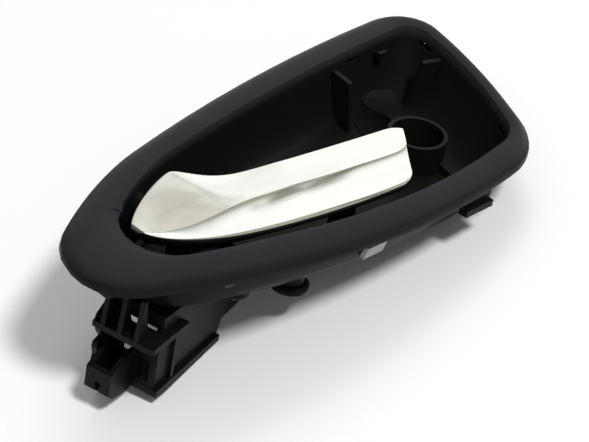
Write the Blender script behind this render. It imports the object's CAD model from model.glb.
import math

import bmesh
import bpy
from bpy.props import FloatProperty, FloatVectorProperty, IntProperty, PointerProperty
from mathutils import Matrix, Vector


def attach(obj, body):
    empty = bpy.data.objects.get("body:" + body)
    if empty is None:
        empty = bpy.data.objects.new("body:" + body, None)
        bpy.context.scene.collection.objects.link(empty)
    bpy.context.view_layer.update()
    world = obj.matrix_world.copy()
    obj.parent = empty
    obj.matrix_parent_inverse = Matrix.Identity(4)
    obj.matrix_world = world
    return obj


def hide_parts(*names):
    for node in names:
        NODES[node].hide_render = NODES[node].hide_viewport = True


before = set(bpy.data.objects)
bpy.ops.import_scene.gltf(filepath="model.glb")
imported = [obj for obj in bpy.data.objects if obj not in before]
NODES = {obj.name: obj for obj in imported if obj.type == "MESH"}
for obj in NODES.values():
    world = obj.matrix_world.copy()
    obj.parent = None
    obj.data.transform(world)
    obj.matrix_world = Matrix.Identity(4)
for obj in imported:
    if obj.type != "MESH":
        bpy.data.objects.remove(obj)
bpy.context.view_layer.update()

bl_info = {
    "name": "Car interior door handle",
    "version": (1, 0, 0),
    "blender": (4, 5, 0),
    "location": "View3D > Sidebar > Handle",
    "description": "Finishes the moulded bezel, the plated lever and the cable bracket of a door handle",
    "category": "Object",
}

MM = 0.001
ROUND_BELOW = 32  # degrees between facets, up to which a moulded piece is shaded round
SHARP_ABOVE = 50  # degrees between facets, above which the lever's skin keeps a sharp edge
BOWL_TOP = 0.0226  # height up to which the bezel has the finish of the finger bowl
FLANGE_FROM = 0.0262  # height from which it has the finish of the flange


# Settings that a user would change

def colour(name, description, default):
    return FloatVectorProperty(name=name, description=description, default=default,
                               subtype="COLOR", size=3, min=0.0, max=1.0)


class BezelSettings(bpy.types.PropertyGroup):
    tint: colour("Plastic", "Colour of the bezel's moulded plastic", (0.024, 0.0235, 0.0264))
    bowl_tint: colour("Bowl", "Colour down inside the finger bowl", (0.0072, 0.0076, 0.0068))
    grain: FloatProperty(name="Grain", description="Width of one pebble of the moulded grain",
                         default=0.00042, min=0.0001, max=0.002, unit="LENGTH")
    grain_depth: FloatProperty(name="Grain depth", description="Depth of the moulded grain",
                               default=0.00005, min=0.0, max=0.0003, unit="LENGTH")


class LeverSettings(bpy.types.PropertyGroup):
    plating: colour("Plating", "Tint of the bright plating", (0.93, 0.92, 0.885))
    roughness: FloatProperty(name="Haze", description="Roughness of the polished plating",
                             default=0.055, min=0.0, max=0.6, subtype="FACTOR")
    rows: IntProperty(name="Rows", description="Mesh rows from the lever's nose to its tip",
                      default=150, min=40, max=300)
    columns: IntProperty(name="Columns", description="Mesh columns on each side of the crease",
                         default=26, min=10, max=60)


class HardwareSettings(bpy.types.PropertyGroup):
    steel: colour("Steel", "Colour of the dark phosphated steel", (0.05, 0.05, 0.052))
    wire: colour("Wire", "Colour of the drawn spring wire", (0.09, 0.09, 0.092))
    bracket: colour("Bracket", "Colour of the bracket's plastic", (0.006, 0.006, 0.0066))
    carrier: colour("Carrier", "Colour of the lever's black moulding", (0.007, 0.007, 0.0075))
    rubber: colour("Rubber", "Colour of the stops and the grommet", (0.006, 0.006, 0.006))
    felt: colour("Felt", "Colour of the rattle pad", (0.55, 0.55, 0.56))


class StageSettings(bpy.types.PropertyGroup):
    camera_at: FloatVectorProperty(name="Camera", description="Where the camera stands",
                                   default=(-0.481713, -0.334668, 0.364159), size=3, subtype="TRANSLATION",
                                   unit="LENGTH")
    look: FloatVectorProperty(name="Look", description="Direction that the camera looks along",
                              default=(0.650977, 0.513137, -0.559391), size=3, subtype="DIRECTION")
    up: FloatVectorProperty(name="Up", description="Direction of the picture's upper edge",
                            default=(0.310154, 0.492802, 0.812988), size=3, subtype="DIRECTION")
    lens: FloatProperty(name="Lens", description="Focal length of the camera",
                        default=122.24, min=20.0, max=300.0, unit="CAMERA")
    floor: colour("Floor", "Colour of the floor", (0.97, 0.97, 0.97))
    floor_up: FloatVectorProperty(name="Floor normal",
                                  description="Normal of the table that the handle lies on",
                                  default=(-0.19, 0.07, 0.98), size=3, subtype="DIRECTION")
    floor_at: FloatVectorProperty(name="Floor point",
                                  description="A point where the handle touches the table",
                                  default=(-0.1007, -0.0138, -0.0219), size=3, subtype="TRANSLATION",
                                  unit="LENGTH")
    world: FloatProperty(name="World", description="Strength of the even light from all sides",
                         default=0.3, min=0.0, max=2.0)
    key: FloatProperty(name="Key", description="Power of the large soft lamp above",
                       default=80.0, min=0.0, max=300.0, unit="POWER")


# Shader helpers

class Value:
    """A socket's number, so that shader maths reads as an expression."""

    def __init__(self, finish, socket):
        self.finish = finish
        self.socket = socket

    def maths(self, operation, first, second):
        return self.finish.make("ShaderNodeMath", {"operation": operation}, {0: first, 1: second})

    def __add__(self, other):
        return self.maths("ADD", self, other)

    __radd__ = __add__

    def __mul__(self, other):
        return self.maths("MULTIPLY", self, other)

    __rmul__ = __mul__

    def __sub__(self, other):
        return self.maths("SUBTRACT", self, other)

    def __rsub__(self, other):
        return self.maths("SUBTRACT", other, self)

    def over(self, low, high):
        """0 below low, 1 above high, and a soft rise between them."""
        return self.finish.make("ShaderNodeMapRange", {"interpolation_type": "SMOOTHSTEP"},
                                {"Value": self, "From Min": low, "From Max": high})


class Finish:
    """One node tree, of a material, the world or a node group: makes its nodes and ties them."""

    def __init__(self, tree):
        self.tree = tree

    @classmethod
    def material(cls, name):
        made = bpy.data.materials.new(name)
        made.use_nodes = True
        finish = cls(made.node_tree)
        finish.block = made
        finish.surface = made.node_tree.nodes["Principled BSDF"]
        return finish

    def make(self, kind, settings=None, inputs=None, output=0):
        """Adds a node. With output None it gives all of the node's outputs."""
        node = self.tree.nodes.new(kind)
        for key, value in (settings or {}).items():
            setattr(node, key, value)
        self.tie(node, inputs or {})
        if output is None:
            return [Value(self, socket) for socket in node.outputs]
        return Value(self, node.outputs[output])

    def tie(self, node, inputs):
        for key, value in inputs.items():
            socket = node.inputs[key]
            if isinstance(value, Value):
                self.tree.links.new(value.socket, socket)
            elif socket.type == "RGBA" and len(value) == 3:
                socket.default_value = (*value, 1.0)
            else:
                socket.default_value = value

    def wear(self, **inputs):
        """Ties values to the shader's sockets: base_color becomes Base Color."""
        self.tie(self.surface, {key.replace("_", " ").title().replace("Ior", "IOR"): value
                                for key, value in inputs.items()})

    def place(self):
        return self.make("ShaderNodeTexCoord", output="Object")

    def stretch(self, place, scale):
        return self.make("ShaderNodeMapping", inputs={"Vector": place, "Scale": scale})

    def split(self, place):
        return self.make("ShaderNodeSeparateXYZ", inputs={"Vector": place}, output=None)

    def noise(self, place, scale, detail, roughness, distortion=0.0):
        return self.make("ShaderNodeTexNoise", {"noise_dimensions": "3D"},
                         {"Vector": place, "Scale": scale, "Detail": detail, "Roughness": roughness,
                          "Distortion": distortion})

    def cells(self, place, scale, feature="SMOOTH_F1"):
        return self.make("ShaderNodeTexVoronoi", {"feature": feature},
                         {"Vector": place, "Scale": scale, "Randomness": 1.0})

    def blend(self, mask, first, second):
        """Colour between first, where mask is 0, and second, where it is 1."""
        return self.make("ShaderNodeMix", {"data_type": "RGBA"},
                         {0: mask, 6: first, 7: second}, output=2)

    def bump(self, height, depth):
        return self.make("ShaderNodeBump", inputs={"Height": height, "Distance": depth, "Strength": 1.0})


def shade(rgb, factor):
    return tuple(min(1.0, channel * factor) for channel in rgb)


def dress(finish, *names):
    for name in names:
        mesh = NODES[name].data
        mesh.materials.clear()
        mesh.materials.append(finish.block)


def smooth_facets(name):
    """Rounds the shading of a moulded piece's facets, where they meet at a flat angle."""
    piece = NODES[name]
    mesh = piece.data
    custom = mesh.attributes.get("custom_normal")
    if custom:
        mesh.attributes.remove(custom)
    mesh.shade_smooth()
    weld = piece.modifiers.new("join facets", "WELD")
    weld.merge_threshold = 0.01 * MM
    rounding = piece.modifiers.new("round shading", "NODES")
    rounding.node_group = shading_by_angle()
    rounding[rounding.node_group["angle"]] = math.radians(ROUND_BELOW)


def shading_by_angle():
    """Geometry nodes that keep the edges sharper than an angle, and smooth the rest."""
    found = bpy.data.node_groups.get("shading by angle")
    if found:
        return found
    group = bpy.data.node_groups.new("shading by angle", "GeometryNodeTree")
    group.interface.new_socket("Geometry", in_out="OUTPUT", socket_type="NodeSocketGeometry")
    group.interface.new_socket("Geometry", in_out="INPUT", socket_type="NodeSocketGeometry")
    angle = group.interface.new_socket("Angle", in_out="INPUT", socket_type="NodeSocketFloat")
    group["angle"] = angle.identifier
    finish = Finish(group)
    geometry, limit, *_ = finish.make("NodeGroupInput", output=None)
    between = finish.make("GeometryNodeInputMeshEdgeAngle", output="Unsigned Angle")
    sharper = finish.make("FunctionNodeCompare", {"operation": "GREATER_THAN"}, {0: between, 1: limit})
    parted = finish.make("GeometryNodeSetShadeSmooth", {"domain": "EDGE"},
                         {"Geometry": geometry, "Selection": sharper, "Shade Smooth": False})
    finish.make("NodeGroupOutput", inputs={"Geometry": parted}, output=None)
    return group


# Bezel and finger bowl

class HANDLE_OT_bezel(bpy.types.Operator):
    """Gives the bezel its grained plastic, smoother and darker down in the finger bowl"""
    bl_idname = "handle.bezel"
    bl_label = "Finish bezel"

    def execute(self, context):
        settings = context.scene.handle_bezel
        finish = Finish.material("bezel_plastic")
        place = finish.place()
        height = finish.split(place)[2]
        flange = height.over(BOWL_TOP, FLANGE_FROM)
        pebbles = finish.cells(place, 1.0 / settings.grain)
        creases = finish.noise(place, 0.6 / settings.grain, 3.0, 0.6)
        drift = finish.noise(place, 35.0, 3.0, 0.5)
        speckle = finish.noise(place, 2600.0, 2.0, 0.7)
        plain = finish.blend(flange, settings.bowl_tint, settings.tint)
        lighter = finish.blend(flange, shade(settings.bowl_tint, 1.25), shade(settings.tint, 1.2))
        clouded = finish.blend(drift.over(0.35, 0.75) * 0.5, plain, lighter)
        flecked = finish.blend(speckle.over(0.62, 0.8) * flange * 0.35, clouded, shade(settings.tint, 2.2))
        grained = (pebbles * 0.7 + creases * 0.6) * (flange * 0.75 + 0.25)
        finish.wear(base_color=flecked,
                    roughness=0.34 + flange * 0.2 + (creases - 0.5) * 0.12,
                    specular_ior_level=0.06,
                    normal=finish.bump(grained, settings.grain_depth))
        dress(finish, "bezel_housing")
        smooth_facets("bezel_housing")
        return {"FINISHED"}


# Lever: built like the shell, on a finer mesh and with an outline closer to the photo's

class LeverShape:
    """The plated skin's surface, in mm. Along it, g runs from 0 at the nose to 1 at the tip.
    Across it, t runs from -1 at the near edge, over the crease at 0, to 1 at the far edge."""
    flange_z, crown = 27.5, 3.0
    nose_x, nose_y = -133.2, -0.6
    tip_x, tip_slant = -20.5, 15.5
    shell, lip, lip_foot = 1.8, 1.9, 1.95

    # near edge: a blunt curve from the nose to the root, then a long slow bend
    root_x = -95.3
    near_start, near_width, near_power = 6.9, 16.6, 2.4
    near_slope, near_bend = 0.195, 0.0016
    near_corner, near_corner_cut = 10, 3.5

    # far edge: a curve to the shoulder, a waist, then a straight line that is at y = 0 at far_axis_x
    shoulder_x = -103.8
    far_width, far_power = 17.2, 1.28
    far_slope, far_axis_x = 0.1006, -79.7
    waist_length = 7.9
    far_corner, far_corner_cut = 7.5, 3.2

    # crease: its share of the way from the near edge to the far one, and its sink at both ends
    crease_share, crease_gain = 0.19, 0.245
    nose_sink, tip_sink = 3.6, 0.5
    soft_step, soft_from = 3.0, 0.2

    # facets: fall from the crown to each edge
    near_fall, near_lift = 4, 0.2
    near_round, near_curl = 0.55, 0.55
    far_fall, far_nose_fall, far_curl = 2, 1.8, 1.7

    # edge: the skin rolls down within roll_width, after a soft start of fade_width
    roll_drop, roll_slope, roll_width = 1.2, 1.9, 0.5
    fade_drop, fade_width = 0.25, 0.6

    # least and most g, then least and most t, of the loops turned under the edge
    whole = (0.0, 1.0, -1.0, 1.0)
    under_lip = (0.017, 0.984, -0.89, 0.9)
    under_shell = (0.0175, 0.983, -0.888, 0.898)

    tip_near_x = tip_x - tip_slant

    @staticmethod
    def smooth(value):
        s = min(1.0, max(0.0, value))
        return s * s * (3 - 2 * s)

    @staticmethod
    def curve(u, power):
        """Superellipse from 1 at u = 0 down to 0 at u = 1."""
        return max(0.0, 1 - min(1.0, max(0.0, u)) ** power) ** (1 / power)

    def near_y(self, x):
        past = x - self.root_x
        turn = self.curve(-past / (self.root_x - self.nose_x), self.near_power)
        corner = max(0.0, (x - self.tip_near_x + self.near_corner) / self.near_corner)
        return (self.nose_y - self.near_start - self.near_width * turn - self.near_slope * past
                + self.near_bend * max(0.0, past) ** 2 + self.near_corner_cut * corner ** 3)

    def far_line(self, x):
        return -self.far_slope * (x - self.far_axis_x)

    def far_y(self, x):
        past = x - self.shoulder_x
        shoulder_y = self.nose_y + self.far_width
        if past < 0:
            turn = self.curve(-past / (self.shoulder_x - self.nose_x), self.far_power)
            return self.nose_y + self.far_width * turn
        waist = (shoulder_y - self.far_line(self.shoulder_x)) / (1 + (past / self.waist_length) ** 2)
        corner = max(0.0, (x - self.tip_x + self.far_corner) / self.far_corner)
        return self.far_line(x) + waist - self.far_corner_cut * corner ** 3

    def far_soft(self, g):
        """The far edge's course, for the crease to follow: a mean over steps of x, so that
        the shoulder is spread out. The steps reach their full size at soft_from."""
        step = self.soft_step * min(1.0, g / self.soft_from)
        x = self.nose_x + (self.tip_x - self.nose_x) * g
        places = [min(self.tip_x - self.far_corner, x + step * k) for k in range(-4, 5)]
        return sum(self.far_y(place) for place in places) / len(places)

    def crease_v(self, g):
        return self.crease_share + self.crease_gain * self.smooth((g - 0.1) / 0.45)

    def crease_z(self, g):
        return (self.flange_z + self.crown - self.nose_sink * (1 - self.smooth(g / 0.4)) ** 1.5
                - self.tip_sink * self.smooth((g - 0.7) / 0.3))

    def height(self, g, t):
        crest = self.crease_z(g)
        top = self.flange_z + self.crown
        if t < 0:
            near = top - self.near_fall + self.near_lift * (1 - self.smooth(g / 0.3)) ** 2
            rounded = self.near_round * (-t) ** self.near_curl
            return crest + (near - crest) * (rounded - (1 - self.near_round) * t)
        far = top - self.far_fall - self.far_nose_fall * (1 - self.smooth((g - 0.25) / 0.3))
        return crest + (far - crest) * t ** self.far_curl

    def roll(self, inset):
        """How far the skin has rolled down, this many mm inside the edge."""
        if inset < self.roll_width:
            return self.roll_drop - self.roll_slope * inset
        return self.fade_drop * max(0.0, 1 - (inset - self.roll_width) / self.fade_width) ** 2

    def point(self, g, t, down):
        """A place in metres, this many mm below the surface, or on it with its edge rolled down."""
        near = Vector((self.nose_x + (self.tip_near_x - self.nose_x) * g, 0.0, 0.0))
        near.y = self.near_y(near.x)
        far = Vector((self.nose_x + (self.tip_x - self.nose_x) * g, 0.0, 0.0))
        far.y = self.far_y(far.x)
        crease = near.lerp(Vector((far.x, self.far_soft(g), 0.0)), self.crease_v(g))
        spot = crease.lerp(near, -t) if t < 0 else crease.lerp(far, t)
        # rough mm to the far edge, the near edge, the nose and the tip
        inset = min(10 * (1 - t), 12 * (1 + t), 130 * (g - 0.002), 115 * (1 - g))
        spot.z = self.height(g, t) - (down if down > 0 else self.roll(inset))
        return spot * MM


class HANDLE_OT_lever_skin(bpy.types.Operator):
    """Builds the lever's bright plated skin, with its crease and turned-down edge"""
    bl_idname = "handle.lever_skin"
    bl_label = "Build lever skin"

    def execute(self, context):
        settings = context.scene.handle_lever
        form = bmesh.new()
        self.build(form, LeverShape(), self.rows(settings.rows), self.columns(settings.columns))
        bmesh.ops.recalc_face_normals(form, faces=form.faces)
        mesh = bpy.data.meshes.new("lever_skin")
        form.to_mesh(mesh)
        form.free()
        mesh.shade_smooth()
        mesh.set_sharp_from_angle(angle=math.radians(SHARP_ABOVE))
        skin = bpy.data.objects.new("lever_skin", mesh)
        context.scene.collection.objects.link(skin)
        mesh.materials.append(self.plating(settings).block)
        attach(skin, "handle")
        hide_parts("handle_shell")
        return {"FINISHED"}

    def rows(self, count):
        """Places along the lever, closer together at the nose and in the rolled ends."""
        steps = [i / (count - 1) for i in range(count)]
        nose = [0.002, 0.0035, 0.006, 0.009, 0.0115]
        middle = [0.0145 + 0.9655 * (0.35 * s + 0.65 * s * s) for s in steps]
        tip = [0.985, 0.989, 0.9928, 0.9955, 0.998, 1.0]
        return nose + middle + tip

    def columns(self, half):
        """Places across the lever, closer together by the crease and in the rolled edges."""
        far = [0.88 * (i / half) for i in range(half + 1)] + [0.91, 0.93, 0.95, 0.965, 0.985, 1.0]
        near = [0.9 * (i / half) ** 1.6 for i in range(1, half + 1)]
        near += [0.925, 0.945, 0.958, 0.975, 0.988, 1.0]
        return [-t for t in reversed(near)] + far

    def build(self, form, shape, along, across):
        """Skins the top, then turns the edge down and under in loops that end at the shell's back."""
        top = [[form.verts.new(shape.point(g, t, 0.0)) for t in across] for g in along]
        rows, columns = len(along), len(across)
        for i in range(rows - 1):
            for j in range(columns - 1):
                form.faces.new((top[i][j], top[i + 1][j], top[i + 1][j + 1], top[i][j + 1]))
        ring = [top[0][j] for j in range(columns)]
        ring += [top[i][-1] for i in range(1, rows)]
        ring += [top[-1][j] for j in range(columns - 2, -1, -1)]
        ring += [top[i][0] for i in range(rows - 2, 0, -1)]
        spots = [(along[0], t) for t in across]
        spots += [(g, 1.0) for g in along[1:]]
        spots += [(1.0, t) for t in reversed(across[:-1])]
        spots += [(g, -1.0) for g in reversed(along[1:-1])]

        def loop(down, limits):
            g_least, g_most, t_least, t_most = limits
            return [form.verts.new(shape.point(min(g_most, max(g_least, g)),
                                               max(t_least, min(t_most, t)), down)) for g, t in spots]

        loops = [ring, loop(shape.lip, shape.whole), loop(shape.lip_foot, shape.whole),
                 loop(shape.lip_foot, shape.under_lip), loop(shape.shell, shape.under_shell)]
        count = len(ring)
        for first, second in zip(loops, loops[1:]):
            for k in range(count):
                form.faces.new((first[k], first[(k + 1) % count], second[(k + 1) % count], second[k]))

    def plating(self, settings):
        finish = Finish.material("bright_plating")
        place = finish.place()
        brushed = finish.noise(finish.stretch(place, (18.0, 160.0, 160.0)), 1.0, 3.0, 0.5)
        haze = finish.noise(place, 90.0, 3.0, 0.6)
        fine = finish.noise(place, 1500.0, 2.0, 0.5)
        tone = finish.blend(brushed.over(0.3, 0.8), settings.plating, shade(settings.plating, 0.93))
        finish.wear(base_color=tone, metallic=1.0,
                    roughness=settings.roughness + haze * 0.05 + (fine - 0.5) * 0.02,
                    normal=finish.bump(brushed * 0.8 + haze * 0.2, 0.00007))
        return finish


# Lever's carrier and cable bracket

def moulded(name, tint, roughness, scale):
    """Plain moulded plastic with flow marks, a fine satin and slightly rubbed patches."""
    finish = Finish.material(name)
    place = finish.place()
    satin = finish.noise(place, scale * 6.0, 3.0, 0.6)
    flow = finish.noise(finish.stretch(place, (0.5, 1.0, 1.6)), scale * 0.22, 4.0, 0.55, 0.8)
    rubbed = finish.noise(place, scale * 0.12, 2.0, 0.5)
    tone = finish.blend(flow.over(0.4, 0.72) * 0.6, tint, shade(tint, 1.5))
    worn = finish.blend(rubbed.over(0.58, 0.75) * 0.3, tone, shade(tint, 2.2))
    finish.wear(base_color=worn,
                roughness=roughness + (flow - 0.5) * 0.16 + (satin - 0.5) * 0.06,
                specular_ior_level=0.08,
                normal=finish.bump(satin * 0.6 + flow * 0.6, 0.00004))
    return finish


class HANDLE_OT_carrier(bpy.types.Operator):
    """Gives the lever's black moulding and its cable arm a plain moulded plastic"""
    bl_idname = "handle.carrier"
    bl_label = "Finish carrier"

    def execute(self, context):
        settings = context.scene.handle_hardware
        finish = moulded("carrier_plastic", settings.carrier, roughness=0.48, scale=420.0)
        dress(finish, "handle_carrier")
        smooth_facets("handle_carrier")
        return {"FINISHED"}


class HANDLE_OT_bracket(bpy.types.Operator):
    """Gives the cable bracket its smooth black plastic"""
    bl_idname = "handle.bracket"
    bl_label = "Finish bracket"

    def execute(self, context):
        settings = context.scene.handle_hardware
        finish = moulded("bracket_plastic", settings.bracket, roughness=0.38, scale=320.0)
        dress(finish, "cable_bracket")
        return {"FINISHED"}


# Pins, screws, sleeve and spring

class HANDLE_OT_steel(bpy.types.Operator):
    """Gives the pin, its clip, the screws, the sleeve and the spring their metals"""
    bl_idname = "handle.steel"
    bl_label = "Finish steel pieces"

    def execute(self, context):
        settings = context.scene.handle_hardware
        self.steel(settings.steel)
        self.wire(settings.wire)
        return {"FINISHED"}

    def steel(self, tint):
        finish = Finish.material("phosphated_steel")
        place = finish.place()
        crystals = finish.cells(place, 900.0, "F1")
        cloud = finish.noise(place, 260.0, 3.0, 0.6)
        scratch = finish.noise(finish.stretch(place, (400.0, 4000.0, 4000.0)), 1.0, 2.0, 0.6)
        finish.wear(base_color=finish.blend(cloud.over(0.4, 0.7), tint, shade(tint, 0.72)),
                    metallic=1.0, roughness=0.3 + cloud * 0.15 + crystals * 0.05,
                    normal=finish.bump(scratch * 0.6 + crystals * 0.4, 0.00002))
        dress(finish, "hinge_pin", "pin_clip", "bracket_screws", "tower_sleeve")

    def wire(self, tint):
        finish = Finish.material("spring_wire")
        place = finish.place()
        drawn = finish.noise(finish.stretch(place, (900.0, 5000.0, 900.0)), 1.0, 3.0, 0.6)
        oiled = finish.noise(place, 500.0, 2.0, 0.5)
        finish.wear(base_color=finish.blend(oiled.over(0.4, 0.7), tint, shade(tint, 0.6)),
                    metallic=1.0, roughness=0.28 + drawn * 0.15,
                    normal=finish.bump(drawn, 0.00001))
        dress(finish, "return_spring")


class HANDLE_OT_rubber(bpy.types.Operator):
    """Gives both stops and the locating grommet their dull rubber"""
    bl_idname = "handle.rubber"
    bl_label = "Finish rubber pieces"

    def execute(self, context):
        settings = context.scene.handle_hardware
        finish = Finish.material("black_rubber")
        place = finish.place()
        skin = finish.noise(place, 1800.0, 3.0, 0.6)
        bloom = finish.noise(place, 300.0, 3.0, 0.55)
        tone = finish.blend(bloom.over(0.45, 0.75) * 0.5, settings.rubber, shade(settings.rubber, 2.4))
        finish.wear(base_color=tone, roughness=0.62 + bloom * 0.2, specular_ior_level=0.08,
                    normal=finish.bump(skin, 0.00003))
        dress(finish, "closed_buffer", "open_buffer", "locating_grommet")
        return {"FINISHED"}


class HANDLE_OT_pad(bpy.types.Operator):
    """Gives the rattle pad its pressed felt"""
    bl_idname = "handle.pad"
    bl_label = "Finish rattle pad"

    def execute(self, context):
        settings = context.scene.handle_hardware
        finish = Finish.material("felt")
        place = finish.place()
        fibres = finish.noise(place, 2200.0, 5.0, 0.7, 1.5)
        matted = finish.noise(place, 500.0, 3.0, 0.6)
        tone = finish.blend(fibres.over(0.35, 0.7), shade(settings.felt, 0.6), settings.felt)
        finish.wear(base_color=tone, roughness=0.85 + matted * 0.1, specular_ior_level=0.2,
                    normal=finish.bump(fibres * 0.7 + matted * 0.5, 0.00015))
        dress(finish, "rattle_pad")
        return {"FINISHED"}


# Stage

class HANDLE_OT_stage(bpy.types.Operator):
    """Lays the floor, hangs the lamps, lights the world and sets up the camera"""
    bl_idname = "handle.stage"
    bl_label = "Set the stage"

    def execute(self, context):
        settings = context.scene.handle_stage
        scene = context.scene
        scene.view_settings.view_transform = "Standard"
        self.floor(scene, settings)
        self.world(scene, settings)
        self.lamps(scene, settings)
        self.camera(scene, settings)
        return {"FINISHED"}

    def floor(self, scene, settings):
        up = Vector(settings.floor_up).normalized()
        turn = up.to_track_quat("Z", "Y").to_matrix().to_4x4()
        mesh = bpy.data.meshes.new("floor")
        form = bmesh.new()
        bmesh.ops.create_grid(form, x_segments=8, y_segments=8, size=2.0)
        form.to_mesh(mesh)
        form.free()
        floor = bpy.data.objects.new("floor", mesh)
        floor.matrix_world = Matrix.Translation(Vector(settings.floor_at)) @ turn
        scene.collection.objects.link(floor)
        finish = Finish.material("floor_paper")
        finish.wear(base_color=tuple(settings.floor), roughness=1.0, specular_ior_level=0.0)
        mesh.materials.append(finish.block)

    def world(self, scene, settings):
        world = bpy.data.worlds.new("studio")
        world.use_nodes = True
        scene.world = world
        finish = Finish(world.node_tree)
        background = world.node_tree.nodes["Background"]
        seen = finish.make("ShaderNodeLightPath", output="Is Camera Ray")
        glossy = finish.make("ShaderNodeLightPath", output="Is Glossy Ray")
        way = finish.make("ShaderNodeTexCoord", output="Generated")
        plain = finish.blend(seen, (settings.world,) * 3, (1.0, 1.0, 1.0))
        light = finish.blend(glossy, plain, self.room(finish, way))
        finish.tie(background, {"Color": light, "Strength": 1.0})

    def room(self, finish, way):
        """What bright metal shows: a white room, greyer straight up, with streaked cream on the far
        side, a narrow olive band before a dull near side, and dark to the west. A ray's way is
        split into east (+X), north (+Y) and height."""
        east, north, height = finish.split(way)
        overhead = finish.blend(height.over(0.87, 0.98), (1.12, 1.12, 1.12), (0.5, 0.54, 0.56))
        near_side = finish.blend(north.over(-0.25, 0.08), (0.4, 0.4, 0.33), overhead)
        band = (1.0 - north.over(0.02, 0.12)) * east.over(0.56, 0.59) * (1.0 - east.over(0.605, 0.64))
        olive = finish.blend(band * 0.9, near_side, (0.17, 0.17, 0.12))
        cream = finish.blend(east.over(0.42, 0.7), (0.69, 0.69, 0.61), (1.1, 1.1, 1.09))
        streaks = finish.noise(finish.stretch(way, (20.0, 6.0, 5.0)), 1.0, 3.0, 0.55)
        streaky = streaks.over(0.4, 0.66) * (1.0 - east.over(0.56, 0.72)) * 0.6
        streaked = finish.blend(streaky, cream, (0.5, 0.5, 0.43))
        front = finish.blend(north.over(0.36, 0.5), olive, streaked)
        behind = (1.0 - east.over(-0.15, 0.2)) * (1.0 - height.over(0.88, 1.0))
        return finish.blend(behind, front, (0.1, 0.1, 0.1))

    def lamps(self, scene, settings):
        middle = Vector((-0.06, 0.0, 0.02))
        for name, place, size, power in (
                ("key lamp", (-0.7, -1.6, 3.0), 0.6, settings.key),
                ("fill lamp", (0.5, 1.2, 3.0), 1.8, settings.key * 0.3)):
            data = bpy.data.lights.new(name, "AREA")
            data.shape = "DISK"
            data.size = size
            data.energy = power
            lamp = bpy.data.objects.new(name, data)
            lamp.location = place
            lamp.visible_glossy = False
            lamp.rotation_euler = (middle - Vector(place)).to_track_quat("-Z", "Y").to_euler()
            scene.collection.objects.link(lamp)

    def camera(self, scene, settings):
        look = Vector(settings.look).normalized()
        right = look.cross(Vector(settings.up)).normalized()
        up = right.cross(look)
        turn = Matrix((right, up, -look)).transposed().to_4x4()
        data = bpy.data.cameras.new("camera")
        data.lens = settings.lens
        data.clip_start = 0.05
        camera = bpy.data.objects.new("camera", data)
        camera.matrix_world = Matrix.Translation(Vector(settings.camera_at)) @ turn
        scene.collection.objects.link(camera)
        scene.camera = camera


class HANDLE_PT_panel(bpy.types.Panel):
    """Lists the handle's pieces and their settings"""
    bl_idname = "HANDLE_PT_panel"
    bl_label = "Door handle"
    bl_space_type = "VIEW_3D"
    bl_region_type = "UI"
    bl_category = "Handle"

    def draw(self, context):
        for group in GROUPS:
            box = self.layout.box()
            settings = getattr(context.scene, group)
            for key in settings.bl_rna.properties.keys():
                if key not in {"rna_type", "name"}:
                    box.prop(settings, key)
        for operator in OPERATORS:
            self.layout.operator(operator.bl_idname)


OPERATORS = (HANDLE_OT_stage, HANDLE_OT_bezel, HANDLE_OT_lever_skin, HANDLE_OT_carrier, HANDLE_OT_bracket,
             HANDLE_OT_steel, HANDLE_OT_rubber, HANDLE_OT_pad)
GROUPS = {"handle_bezel": BezelSettings, "handle_lever": LeverSettings,
          "handle_hardware": HardwareSettings, "handle_stage": StageSettings}
CLASSES = (*GROUPS.values(), *OPERATORS, HANDLE_PT_panel)


def register():
    for cls in CLASSES:
        bpy.utils.register_class(cls)
    for key, group in GROUPS.items():
        setattr(bpy.types.Scene, key, PointerProperty(type=group))


def unregister():
    for key in GROUPS:
        delattr(bpy.types.Scene, key)
    for cls in reversed(CLASSES):
        bpy.utils.unregister_class(cls)


def main():
    register()
    bpy.ops.handle.stage()
    bpy.ops.handle.bezel()
    bpy.ops.handle.lever_skin()
    bpy.ops.handle.carrier()
    bpy.ops.handle.bracket()
    bpy.ops.handle.steel()
    bpy.ops.handle.rubber()
    bpy.ops.handle.pad()


if __name__ == "__main__":
    main()
